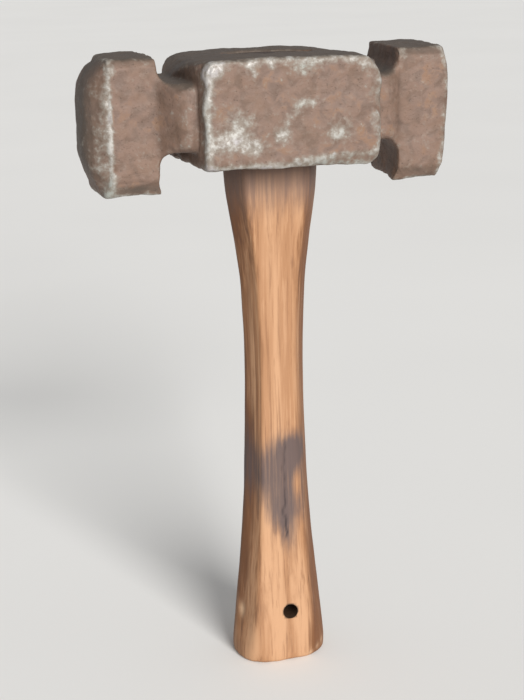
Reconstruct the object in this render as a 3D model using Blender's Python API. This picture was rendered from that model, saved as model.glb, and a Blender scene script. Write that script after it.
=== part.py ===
"""Blacksmith's hammer: a forged steel head on a shaped wooden handle.

The origin is the middle of the butt face. +Z runs up the handle, +X points to the
flat striking face and -Y to the front cheek. All sizes are in metres.
"""
import math

import bmesh
import bpy
from mathutils import Vector

MM = 0.001

# Fit between pieces that touch
FIT_GAP = 0.3 * MM

# Head, measured from the middle of its two polls
HEAD_AXIS_HEIGHT = 227.5 * MM
HEAD_OFFSET = -0.6 * MM
POLL_DEPTH = 38.0 * MM
POLL_HEIGHT = 51.5 * MM
POLL_CORNER = 5.0 * MM
ROUND_POLL_LENGTH = 19.0 * MM
ROUND_FACE_RISE = 9.0 * MM
FLAT_POLL_LENGTH = 19.0 * MM
FLAT_FACE_RISE = 3.4 * MM
FULLER_RADIUS = 6.0 * MM
FULLER_WIDTH = 10.0 * MM
WALL_DRAFT = 0.8 * MM

NECK_DEPTH = 46.0 * MM
NECK_HEIGHT = 25.5 * MM
NECK_RISE = 3.5 * MM
NECK_CORNER = 3.5 * MM

BLOCK_LENGTH = 75.0 * MM
BLOCK_DEPTH = 72.5 * MM
BLOCK_HEIGHT = 40.2 * MM
BLOCK_RISE = 4.6 * MM
BLOCK_CROWN = 2.2 * MM
BLOCK_END_ROUND = 5.0 * MM
BLOCK_FALL = 1.0 * MM
BLOCK_EDGE = 1.6 * MM
SIDE_BULGE = 4.5 * MM

# Eye through the block, oval, waisted at mid height
EYE_LENGTH = 34.0 * MM
EYE_DEPTH = 23.0 * MM
EYE_FLARE = 1.5 * MM

# Handle, widths along X and depths along Y
SHOULDER_LIP = 0.4 * MM
SHOULDER_DROP = 6.0 * MM
THROAT_LENGTH = 25.2 * MM
THROAT_DEPTH = 22.5 * MM
THROAT_HEIGHT = 157.0 * MM
WAIST_LENGTH = 23.6 * MM
WAIST_DEPTH = 22.0 * MM
WAIST_HEIGHT = 118.0 * MM
SWELL_LENGTH = 27.8 * MM
SWELL_DEPTH = 24.5 * MM
SWELL_HEIGHT = 62.0 * MM
BUTT_LENGTH = 38.8 * MM
BUTT_DEPTH = 30.5 * MM
BUTT_HEIGHT = 7.0 * MM
BUTT_EASE = 3.0 * MM
TENON_RECESS = 1.2 * MM
HANG_HOLE_DIAMETER = 6.0 * MM
HANG_HOLE_HEIGHT = 22.0 * MM
HANG_HOLE_OFFSET = 1.5 * MM

# Wedges, each shorter than the eye by a margin at both ends
WOOD_WEDGE_MARGIN = 1.5 * MM
WOOD_WEDGE_DEPTH = 28.0 * MM
WOOD_WEDGE_TOP = 4.0 * MM
WOOD_WEDGE_TIP = 1.2 * MM
STEEL_WEDGE_MARGIN = 4.5 * MM
STEEL_WEDGE_DEPTH = 16.0 * MM
STEEL_WEDGE_TOP = 2.6 * MM
STEEL_WEDGE_TIP = 0.8 * MM
STEEL_WEDGE_SPACING = 15.0 * MM

# Where the block's top is cut to take its crown, as shares of its half length
BLOCK_CROWN_CUTS = (0.25, 0.5, 0.68, 0.8, 0.93)
BLOCK_END_START = 0.78
RIM_ANGLE = math.radians(40)

# Fullness of the curves: a higher power keeps a curve flat for longer
SIDE_POWER = 2.4
NECK_POWER = 4
CROWN_POWER = 3
GRIP_POWER = 2.2

# Where a handle section turns from its flat front to its round side
GRIP_FRONT_SHARE = 0.72
GRIP_SIDE_SHARE = 0.82

# Fineness of the round stretches
CORNER_STEPS = 3
FULLER_STEPS = 5
FACE_STEPS = 5
SIDE_STEPS = 8
EYE_STEPS = 6
OVAL_STEPS = 36
HOLE_STEPS = 24
GRIP_STEPS = 8
GRIP_SIDE_STEPS = 6
GRIP_FRONT_STEPS = 4
EASE_STEPS = 3
HEAD_SMOOTH_ANGLE = math.radians(35)
HANDLE_SMOOTH_ANGLE = math.radians(38)

# Room that a cutter keeps past the surface it goes through
CUT_MARGIN = 4.0 * MM
CUT_TOLERANCE = 0.01 * MM

# Sizes and heights that follow from those above
NECK_BOTTOM = HEAD_AXIS_HEIGHT + NECK_RISE - NECK_HEIGHT / 2
NECK_TOP = NECK_BOTTOM + NECK_HEIGHT
BLOCK_BOTTOM = HEAD_AXIS_HEIGHT + BLOCK_RISE - BLOCK_HEIGHT / 2
BLOCK_TOP = BLOCK_BOTTOM + BLOCK_HEIGHT
TENON_TOP = BLOCK_TOP - TENON_RECESS
SHOULDER_TOP = BLOCK_BOTTOM - FIT_GAP
SHOULDER_LENGTH = EYE_LENGTH + 2 * (EYE_FLARE + SHOULDER_LIP)
SHOULDER_DEPTH = EYE_DEPTH + 2 * (EYE_FLARE + SHOULDER_LIP)
WALL_OFFSET = BLOCK_LENGTH / 2 + FULLER_WIDTH
WOOD_WEDGE_LENGTH = EYE_LENGTH - 2 * WOOD_WEDGE_MARGIN
STEEL_WEDGE_LENGTH = EYE_DEPTH - 2 * STEEL_WEDGE_MARGIN


def clear_scene():
    """Remove whatever the opened file holds."""
    for item in list(bpy.data.objects):
        bpy.data.objects.remove(item, do_unlink=True)


def make_material(name, colour, roughness, metallic):
    """Return a plain Principled material."""
    material = bpy.data.materials.new(name)
    material.use_nodes = True
    shader = material.node_tree.nodes["Principled BSDF"]
    shader.inputs["Base Color"].default_value = (*colour, 1.0)
    shader.inputs["Roughness"].default_value = roughness
    shader.inputs["Metallic"].default_value = metallic
    return material


def add_object(name, bm, material=None, smooth_angle=None):
    """Turn a bmesh into a named object, with its normals facing out."""
    bm.normal_update()
    bmesh.ops.recalc_face_normals(bm, faces=bm.faces)
    mesh = bpy.data.meshes.new(name)
    bm.to_mesh(mesh)
    bm.free()
    if smooth_angle is not None:
        mesh.shade_smooth()
        mesh.set_sharp_from_angle(angle=smooth_angle)
    item = bpy.data.objects.new(name, mesh)
    bpy.context.scene.collection.objects.link(item)
    if material is not None:
        mesh.materials.append(material)
    return item


def add_cutter(name, bm):
    """Make a hidden tool for a Boolean."""
    cutter = add_object(name, bm)
    cutter.hide_render = True
    cutter.display_type = "WIRE"
    return cutter


def add_boolean(item, tool, operation):
    """Join a tool to an object, or cut it away."""
    modifier = item.modifiers.new(tool.name, "BOOLEAN")
    modifier.operation = operation
    modifier.object = tool
    modifier.solver = "EXACT"


def loft(rings):
    """Skin a stack of rings of equal count and close both ends."""
    bm = bmesh.new()
    loops = []
    for ring in rings:
        verts = [bm.verts.new(point) for point in ring]
        edges = [bm.edges.new((verts[i - 1], verts[i])) for i in range(len(verts))]
        loops.append((verts, edges))
    for lower, upper in zip(loops, loops[1:]):
        bmesh.ops.bridge_loops(bm, edges=lower[1] + upper[1])
    bm.faces.new(loops[0][0])
    bm.faces.new(loops[-1][0])
    return bm


def oval(half_x, half_y, z):
    """Return an ellipse in a level plane."""
    turns = [2 * math.pi * i / OVAL_STEPS for i in range(OVAL_STEPS)]
    return [Vector((half_x * math.cos(t), half_y * math.sin(t), z)) for t in turns]


def bar_section(x, half_y, low, high, corner_y, corner_z):
    """Return an upright rectangle with rounded corners, square to the X axis."""
    centres = (
        (half_y - corner_y, high - corner_z, 0),
        (-half_y + corner_y, high - corner_z, 1),
        (-half_y + corner_y, low + corner_z, 2),
        (half_y - corner_y, low + corner_z, 3),
    )
    ring = []
    for centre_y, centre_z, quarter in centres:
        for step in range(CORNER_STEPS + 1):
            turn = math.pi / 2 * (quarter + step / CORNER_STEPS)
            ring.append(Vector((
                x,
                centre_y + corner_y * math.cos(turn),
                centre_z + corner_z * math.sin(turn),
            )))
    return ring


def poll_section(x, scale=1.0):
    """Return a poll's section, shrunk for the striking face and turning oval on the way."""
    half_depth = POLL_DEPTH / 2 * scale
    half_height = POLL_HEIGHT / 2 * scale
    corner = POLL_CORNER * scale
    oval_share = 1 - scale
    return bar_section(
        x,
        half_depth,
        HEAD_AXIS_HEIGHT - half_height,
        HEAD_AXIS_HEIGHT + half_height,
        corner + (half_depth - corner) * oval_share,
        corner + (half_height - corner) * oval_share,
    )


def half_bar(side, poll_length, face_rise):
    """Return the sections from the middle of the head out to one striking face."""
    fuller_end = WALL_OFFSET - FULLER_RADIUS
    upper_radius = min(FULLER_RADIUS, HEAD_AXIS_HEIGHT + POLL_HEIGHT / 2 - NECK_TOP)
    lower_radius = min(FULLER_RADIUS, NECK_BOTTOM - HEAD_AXIS_HEIGHT + POLL_HEIGHT / 2)
    rings = []
    for step in range(FULLER_STEPS + 1):
        turn = math.pi / 2 * step / FULLER_STEPS
        narrow = (NECK_DEPTH - POLL_DEPTH) / 2 * math.sin(turn) ** NECK_POWER
        rings.append(bar_section(
            side * (fuller_end + FULLER_RADIUS * math.sin(turn)),
            NECK_DEPTH / 2 - narrow,
            NECK_BOTTOM - lower_radius * (1 - math.cos(turn)),
            NECK_TOP + upper_radius * (1 - math.cos(turn)),
            NECK_CORNER,
            NECK_CORNER,
        ))
    face_edge = WALL_OFFSET + poll_length
    rings.append(poll_section(side * (WALL_OFFSET + WALL_DRAFT)))
    for step in range(FACE_STEPS):
        scale = 1 - step / FACE_STEPS
        rings.append(poll_section(side * (face_edge + face_rise * (1 - scale ** 2)), scale))
    return rings


def bar_mesh():
    """Loft the bar that carries both polls and the necks between them and the block."""
    left = half_bar(-1, ROUND_POLL_LENGTH, ROUND_FACE_RISE)
    right = half_bar(1, FLAT_POLL_LENGTH, FLAT_FACE_RISE)
    bm = loft(list(reversed(left)) + right)
    bmesh.ops.translate(bm, verts=bm.verts, vec=(HEAD_OFFSET, 0, 0))
    return bm


def block_outline():
    """Return the barrel-sided plan of the eye block, from its cheeks to its ends."""
    half_cheek = BLOCK_LENGTH / 2 - SIDE_BULGE
    half_depth = BLOCK_DEPTH / 2
    outline = []
    for side in (1, -1):
        for step in range(SIDE_STEPS + 1):
            share = side * (2 * step / SIDE_STEPS - 1)
            bulge = SIDE_BULGE * (1 - abs(share) ** SIDE_POWER)
            outline.append(Vector((side * (half_cheek + bulge), half_depth * share, 0)))
    return outline


def block_mesh():
    """Raise the eye block from its plan, crown its top and ease its edges."""
    bm = bmesh.new()
    face = bm.faces.new([bm.verts.new(point) for point in block_outline()])
    grown = bmesh.ops.extrude_face_region(bm, geom=[face])
    top = [v for v in grown["geom"] if isinstance(v, bmesh.types.BMVert)]
    bmesh.ops.translate(bm, verts=top, vec=(0, 0, BLOCK_HEIGHT))
    bmesh.ops.recalc_face_normals(bm, faces=bm.faces)
    rims = [e for e in bm.edges if e.calc_face_angle() > RIM_ANGLE]
    bmesh.ops.bevel(
        bm,
        geom=rims,
        offset=BLOCK_EDGE,
        offset_type="OFFSET",
        segments=2,
        profile=0.5,
        affect="EDGES",
        clamp_overlap=True,
    )
    for share in BLOCK_CROWN_CUTS:
        for side in (-1, 1):
            bmesh.ops.bisect_plane(
                bm,
                geom=bm.verts[:] + bm.edges[:] + bm.faces[:],
                plane_co=(side * share * BLOCK_LENGTH / 2, 0, 0),
                plane_no=(1, 0, 0),
                dist=CUT_TOLERANCE,
            )
    for vert in bm.verts:
        share = min(1.0, abs(vert.co.x) / (BLOCK_LENGTH / 2))
        if vert.co.z > BLOCK_HEIGHT / 2:
            beyond = max(0.0, share - BLOCK_END_START) / (1 - BLOCK_END_START)
            behind = max(0.0, vert.co.y / (BLOCK_DEPTH / 2))
            vert.co.z -= BLOCK_CROWN * share ** CROWN_POWER + BLOCK_END_ROUND * beyond ** 2
            vert.co.z -= BLOCK_FALL * behind
        vert.co.z += BLOCK_BOTTOM
        vert.co.x += HEAD_OFFSET
    return bm


def eye_section(z, clearance=0.0):
    """Return the eye's oval at a height, drawn in by a clearance."""
    share = 2 * (z - BLOCK_BOTTOM) / BLOCK_HEIGHT - 1
    flare = EYE_FLARE * min(1.0, share ** 2)
    return oval(EYE_LENGTH / 2 + flare - clearance, EYE_DEPTH / 2 + flare - clearance, z)


def eye_mesh(top, clearance=0.0):
    """Loft the eye's form from below the block up to a top."""
    inside = [BLOCK_BOTTOM + BLOCK_HEIGHT * step / EYE_STEPS for step in range(EYE_STEPS + 1)]
    heights = [BLOCK_BOTTOM - CUT_MARGIN] + [z for z in inside if z < top] + [top]
    return loft([eye_section(z, clearance) for z in heights])


def make_head(steel):
    """Forge the head: two polls, two necks and the pierced eye block."""
    head = add_object("hammer_head", bar_mesh(), steel, HEAD_SMOOTH_ANGLE)
    block = add_cutter("eye_block_form", block_mesh())
    eye = add_cutter("eye_drift", eye_mesh(BLOCK_TOP + CUT_MARGIN))
    add_boolean(head, block, "UNION")
    add_boolean(head, eye, "DIFFERENCE")
    return head


def handle_section(length, depth, z):
    """Return a handle section: nearly flat front and back, full sides, soft edges."""
    half_x = length / 2
    half_y = depth / 2
    corner_x = half_x * GRIP_FRONT_SHARE
    corner_y = half_y * GRIP_SIDE_SHARE
    ring = []
    for side in (1, -1):
        for step in range(GRIP_SIDE_STEPS + 1):
            share = 2 * step / GRIP_SIDE_STEPS - 1
            bulge = (half_x - corner_x) * (1 - abs(share) ** GRIP_POWER)
            ring.append(Vector((side * (corner_x + bulge), side * corner_y * share, z)))
        for step in range(1, GRIP_FRONT_STEPS):
            share = 1 - 2 * step / GRIP_FRONT_STEPS
            crown = corner_y + (half_y - corner_y) * (1 - share ** 2)
            ring.append(Vector((side * corner_x * share, side * crown, z)))
    return ring


def ease(share):
    """Blend from 0 to 1 with a level start and end."""
    return share * share * (3 - 2 * share)


def grip_sections():
    """Return the handle's sections from the butt up to the shoulder."""
    stations = (
        (BUTT_HEIGHT, BUTT_LENGTH, BUTT_DEPTH),
        (SWELL_HEIGHT, SWELL_LENGTH, SWELL_DEPTH),
        (WAIST_HEIGHT, WAIST_LENGTH, WAIST_DEPTH),
        (THROAT_HEIGHT, THROAT_LENGTH, THROAT_DEPTH),
        (SHOULDER_TOP - SHOULDER_DROP, SHOULDER_LENGTH, SHOULDER_DEPTH),
    )
    rings = []
    for step in range(EASE_STEPS + 1):
        turn = math.pi / 2 * step / EASE_STEPS
        inset = BUTT_EASE * (1 - math.sin(turn))
        rings.append(handle_section(
            BUTT_LENGTH - 2 * inset,
            BUTT_DEPTH - 2 * inset,
            BUTT_EASE * (1 - math.cos(turn)),
        ))
    for low, high in zip(stations, stations[1:]):
        for step in range(GRIP_STEPS):
            share = step / GRIP_STEPS
            blend = ease(share)
            rings.append(handle_section(
                low[1] + (high[1] - low[1]) * blend,
                low[2] + (high[2] - low[2]) * blend,
                low[0] + (high[0] - low[0]) * share,
            ))
    for z in (SHOULDER_TOP - SHOULDER_DROP, SHOULDER_TOP):
        rings.append(handle_section(SHOULDER_LENGTH, SHOULDER_DEPTH, z))
    return rings


def wedge_mesh(length, depth, top, tip, centre_x, crosswise, grow, rise):
    """Make a tapered wedge driven down from the top of the tenon, grown for its slot."""
    slope = (top - tip) / depth
    bm = bmesh.new()
    bmesh.ops.create_cube(bm, size=1.0)
    for vert in bm.verts:
        if vert.co.z > 0:
            height = TENON_TOP + rise
            thick = top + slope * rise + 2 * grow
        else:
            height = TENON_TOP - depth - grow
            thick = tip - slope * grow + 2 * grow
        across = vert.co.y * thick
        along = vert.co.x * (length + 2 * grow)
        if crosswise:
            vert.co = (centre_x + across, -along, height)
        else:
            vert.co = (centre_x + along, across, height)
    return bm


def wood_wedge_mesh(grow=0.0, rise=0.0):
    """Make the long wedge that opens the tenon along the head."""
    return wedge_mesh(
        WOOD_WEDGE_LENGTH, WOOD_WEDGE_DEPTH, WOOD_WEDGE_TOP, WOOD_WEDGE_TIP,
        0.0, False, grow, rise,
    )


def steel_wedge_mesh(side, grow=0.0, rise=0.0):
    """Make one of the two short wedges that cross the wooden one."""
    return wedge_mesh(
        STEEL_WEDGE_LENGTH, STEEL_WEDGE_DEPTH, STEEL_WEDGE_TOP, STEEL_WEDGE_TIP,
        side * STEEL_WEDGE_SPACING / 2, True, grow, rise,
    )


def hole_mesh():
    """Make the round drill for the hanging hole, from front to back."""
    bm = bmesh.new()
    bmesh.ops.create_cone(
        bm,
        cap_ends=True,
        segments=HOLE_STEPS,
        radius1=HANG_HOLE_DIAMETER / 2,
        radius2=HANG_HOLE_DIAMETER / 2,
        depth=BUTT_DEPTH + 2 * CUT_MARGIN,
    )
    for vert in bm.verts:
        vert.co = (HANG_HOLE_OFFSET + vert.co.x, -vert.co.z, HANG_HOLE_HEIGHT + vert.co.y)
    return bm


def make_handle(wood):
    """Shape the handle, with its tenon, its wedge slots and its hanging hole."""
    handle = add_object("handle", loft(grip_sections()), wood, HANDLE_SMOOTH_ANGLE)
    add_boolean(handle, add_cutter("tenon_form", eye_mesh(TENON_TOP, FIT_GAP)), "UNION")
    add_boolean(handle, add_cutter("kerf_saw", wood_wedge_mesh(FIT_GAP, CUT_MARGIN)), "DIFFERENCE")
    for side, label in ((-1, "left"), (1, "right")):
        slot = add_cutter(f"{label}_wedge_slot", steel_wedge_mesh(side, FIT_GAP, CUT_MARGIN))
        add_boolean(handle, slot, "DIFFERENCE")
    add_boolean(handle, add_cutter("hang_hole_drill", hole_mesh()), "DIFFERENCE")
    return handle


def make_wedges(wedge_wood, wedge_steel):
    """Drive the wooden wedge and the two steel ones that cross it."""
    wooden = add_object("wooden_wedge", wood_wedge_mesh(), wedge_wood)
    for side, label in ((-1, "left"), (1, "right")):
        add_object(f"steel_wedge_{label}", steel_wedge_mesh(side), wedge_steel)
        slot = add_cutter(f"{label}_cross_slot", steel_wedge_mesh(side, FIT_GAP, CUT_MARGIN))
        add_boolean(wooden, slot, "DIFFERENCE")


def main():
    """Build every piece of the hammer."""
    clear_scene()
    steel = make_material("forged_steel", (0.30, 0.20, 0.16), 0.62, 0.35)
    ash = make_material("handle_wood", (0.62, 0.40, 0.22), 0.60, 0.0)
    wedge_wood = make_material("wedge_wood", (0.42, 0.26, 0.14), 0.70, 0.0)
    wedge_steel = make_material("wedge_steel", (0.34, 0.31, 0.29), 0.50, 0.80)
    make_head(steel)
    make_handle(ash)
    make_wedges(wedge_wood, wedge_steel)


main()
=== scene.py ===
"""Looks of the blacksmith's hammer: forged head, shaped handle, wedges and studio.

The frame's origin is the middle of the butt face. +Z runs up the handle, +X points to the
flat poll and -Y out of the front cheek. Lengths are in metres.
"""
import logging
import math
from dataclasses import dataclass, field
from enum import Enum
from typing import Any, Callable, Iterable, Sequence

import bmesh
import bpy
import numpy as np
from mathutils import Matrix, Vector, noise


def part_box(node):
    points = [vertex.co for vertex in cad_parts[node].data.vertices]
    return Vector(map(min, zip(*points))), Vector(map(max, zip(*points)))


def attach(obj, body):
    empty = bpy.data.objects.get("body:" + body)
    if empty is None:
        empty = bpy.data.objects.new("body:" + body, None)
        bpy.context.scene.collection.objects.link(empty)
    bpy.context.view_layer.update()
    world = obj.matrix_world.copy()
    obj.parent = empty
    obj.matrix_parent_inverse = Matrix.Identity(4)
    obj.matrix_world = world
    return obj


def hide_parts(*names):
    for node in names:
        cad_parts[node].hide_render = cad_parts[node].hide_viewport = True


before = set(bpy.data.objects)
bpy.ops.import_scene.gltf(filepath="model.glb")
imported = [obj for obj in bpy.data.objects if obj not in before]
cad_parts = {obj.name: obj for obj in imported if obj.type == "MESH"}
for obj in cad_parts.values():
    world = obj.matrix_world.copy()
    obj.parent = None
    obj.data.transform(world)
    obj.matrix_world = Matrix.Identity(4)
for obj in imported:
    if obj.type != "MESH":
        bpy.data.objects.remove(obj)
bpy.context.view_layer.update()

MM = 0.001
BODY = "root"
LOG = logging.getLogger("hammer")
Colour = tuple[float, float, float, float]
Point = tuple[float, float, float]
Shade = Colour | bpy.types.NodeSocket


class Axis(Enum):
    """The frame's three directions, by their place in a point."""

    X = 0
    Y = 1
    Z = 2


class Piece(Enum):
    """The CAD nodes that this script dresses or stands in for."""

    HEAD = "hammer_head"
    HANDLE = "handle"
    WOODEN_WEDGE = "wooden_wedge"
    LEFT_WEDGE = "steel_wedge_left"
    RIGHT_WEDGE = "steel_wedge_right"


class Layer(Enum):
    """Values stored on a mesh's points for its finish to read."""

    EDGE = "edge_wear"
    # Painted shade in the head's creases, in the hang hole and on the tenon inside the eye.
    HOLLOW = "hollow_painted_shade"
    # Rubbed bright patches, and painted highlight lines and glints on some edges.
    RUB_AND_HIGHLIGHT = "rubbed_bright_and_highlight"
    TINT = "green_tint"
    SMUDGE = "soot_smudge"
    # Painted shade on the head; grime below the head on the handle.
    SHADE_AND_GRIME = "painted_shade_and_grime"
    # Brown staining on the handle, and painted shade on its flats facing left and under the head.
    STAIN_AND_SHADE = "brown_stain_and_shade"
    CRACK = "dark_crack"
    CHIP = "fresh_chip"


def tone(red: float, green: float, blue: float) -> Colour:
    """Turn a screen colour into the linear one that shaders take.

    Args:
        red: Red from 0 to 255.
        green: Green from 0 to 255.
        blue: Blue from 0 to 255.

    Returns:
        The linear colour, opaque.
    """
    linear = [((c / 255 + 0.055) / 1.055) ** 2.4 for c in (red, green, blue)]
    return (linear[0], linear[1], linear[2], 1.0)


def smooth_step(low: float, high: float, values: np.ndarray) -> np.ndarray:
    """Blend from 0 to 1 between two values, level at both ends.

    Args:
        low: Where the blend starts.
        high: Where it ends.
        values: The values to blend over.

    Returns:
        The blend at each value.
    """
    share = np.clip((values - low) / (high - low), 0, 1)
    return share * share * (3 - 2 * share)


def fractal(points: np.ndarray, size: float, octaves: int = 4, seed: float = 0.0) -> np.ndarray:
    """Sample smooth noise at points.

    Args:
        points: One point in each row.
        size: The size of the noise's largest lumps.
        octaves: How many finer layers it has.
        seed: Shifts the pattern, so that two samples differ.

    Returns:
        Noise around 0, mostly within half a unit of it.
    """
    scaled = points / size + seed
    return np.array([noise.fractal(Vector(p), 1.0, 2.0, octaves) for p in scaled])


def ease(low: float, high: float, value: float) -> float:
    """Blend one number from 0 to 1 between two values, which may run backwards."""
    return float(smooth_step(low, high, np.array(value)))


class Surface:
    """A mesh read into arrays, so that its points are moved and weighed together."""

    def __init__(self, mesh: bpy.types.Mesh) -> None:
        """Read a mesh's points and edges.

        Args:
            mesh: The mesh to work on.
        """
        self.mesh = mesh
        self.points = np.empty((len(mesh.vertices), 3), np.float32)
        mesh.vertices.foreach_get("co", self.points.ravel())
        self.edges = np.empty((len(mesh.edges), 2), np.int32)
        mesh.edges.foreach_get("vertices", self.edges.ravel())
        self.valence = np.bincount(self.edges.ravel(), minlength=len(self.points))

    def normals(self) -> np.ndarray:
        """Read the direction out of the surface at each point.

        Returns:
            One direction in each row.
        """
        found = np.empty(len(self.points) * 3, np.float32)
        self.mesh.vertices.foreach_get("normal", found)
        return found.reshape(-1, 3)

    def move(self, offsets: np.ndarray) -> None:
        """Shift every point.

        Args:
            offsets: One shift in each row.
        """
        self.points = (self.points + offsets).astype(np.float32)
        self.mesh.vertices.foreach_set("co", self.points.ravel())
        self.mesh.update()

    def spread(self, values: np.ndarray, rounds: int) -> np.ndarray:
        """Average values with their neighbours'.

        Args:
            values: One number for each point.
            rounds: How many times to average.

        Returns:
            The softened numbers.
        """
        first, second = self.edges[:, 0], self.edges[:, 1]
        count = len(self.points)
        for _ in range(rounds):
            total = np.bincount(first, values[second], count)
            total += np.bincount(second, values[first], count)
            values = (values + total) / (1 + self.valence)
        return values

    def bend(self, rounds: int) -> np.ndarray:
        """Measure how sharply the surface bends, per metre.

        Args:
            rounds: How many times the normals are softened first.

        Returns:
            Positive on outer edges, negative in hollows.
        """
        normals = self.normals()
        soft = np.stack([self.spread(normals[:, axis], rounds) for axis in range(3)], axis=1)
        soft /= np.linalg.norm(soft, axis=1, keepdims=True)
        first, second = self.edges[:, 0], self.edges[:, 1]
        run = self.points[second] - self.points[first]
        turn = ((soft[second] - soft[first]) * run).sum(1) / (run ** 2).sum(1)
        count = len(self.points)
        total = np.bincount(first, turn, count) + np.bincount(second, turn, count)
        return total / np.maximum(self.valence, 1)

    def store(self, layer: Layer, values: np.ndarray) -> None:
        """Keep a value on each point for the finish.

        Args:
            layer: The layer that holds it.
            values: One number for each point.
        """
        kept = self.mesh.attributes.new(layer.value, "FLOAT", "POINT")
        kept.data.foreach_set("value", np.clip(values, 0, 1).astype(np.float32))


@dataclass(frozen=True)
class Spot:
    """A soft-edged egg of space that marks where a surface is rubbed, dirty or dented, or where
    shade or a highlight is painted on it.
    """

    centre: Point
    reach: Point
    strength: float = 1.0

    def weigh(self, points: np.ndarray) -> np.ndarray:
        """Return how strongly each point is marked.

        Args:
            points: One point in each row, in metres.

        Returns:
            The strength at the centre, falling to 0 around it.
        """
        away = (points / MM - np.array(self.centre)) / np.array(self.reach)
        return self.strength * np.exp(-(away ** 2).sum(1))


@dataclass(frozen=True)
class Push:
    """A hammer blow that shifts the metal around a place, in millimetres."""

    place: Spot
    shift: Point

    def offsets(self, points: np.ndarray) -> np.ndarray:
        """Return how far each point is shifted, in metres."""
        return self.place.weigh(points)[:, None] * np.array(self.shift) * MM


def weigh_all(spots: Iterable[Spot], points: np.ndarray) -> np.ndarray:
    """Add up what several spots mark.

    Args:
        spots: The spots.
        points: One point in each row.

    Returns:
        The total at each point.
    """
    total = np.zeros(len(points))
    for spot in spots:
        total += spot.weigh(points)
    return total


class Value:
    """A shader number whose Python operators add Math nodes."""

    def __init__(self, graph: "Graph", socket: bpy.types.NodeSocket) -> None:
        """Wrap a socket.

        Args:
            graph: The graph that the socket is in.
            socket: The socket that gives the number.
        """
        self.graph = graph
        self.socket = socket

    def _math(
        self, operation: str, first: "Value | float", second: "Value | float"
    ) -> "Value":
        """Add a Math node.

        Args:
            operation: What it does.
            first: Its first number or value.
            second: Its second number or value.

        Returns:
            Its result.
        """
        made = self.graph.node("ShaderNodeMath", {"operation": operation}, {0: first, 1: second})
        return Value(self.graph, made.outputs[0])

    def __add__(self, other: "Value | float") -> "Value":
        """Add a number or a value."""
        return self._math("ADD", self, other)

    def __radd__(self, other: "Value | float") -> "Value":
        """Add to a number."""
        return self._math("ADD", other, self)

    def __sub__(self, other: "Value | float") -> "Value":
        """Take a number or a value away."""
        return self._math("SUBTRACT", self, other)

    def __rsub__(self, other: "Value | float") -> "Value":
        """Take this away from a number."""
        return self._math("SUBTRACT", other, self)

    def __mul__(self, other: "Value | float") -> "Value":
        """Multiply by a number or a value."""
        return self._math("MULTIPLY", self, other)

    def __rmul__(self, other: "Value | float") -> "Value":
        """Multiply a number."""
        return self._math("MULTIPLY", other, self)

    def above(self, low: float, high: float) -> "Value":
        """Blend from 0 to 1 as this goes from a low number to a high one.

        Args:
            low: Where the blend starts.
            high: Where it ends.

        Returns:
            The blend.
        """
        made = self.graph.node(
            "ShaderNodeMapRange",
            {"interpolation_type": "SMOOTHSTEP", "clamp": True},
            {"Value": self, "From Min": low, "From Max": high},
        )
        return Value(self.graph, made.outputs["Result"])


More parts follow.
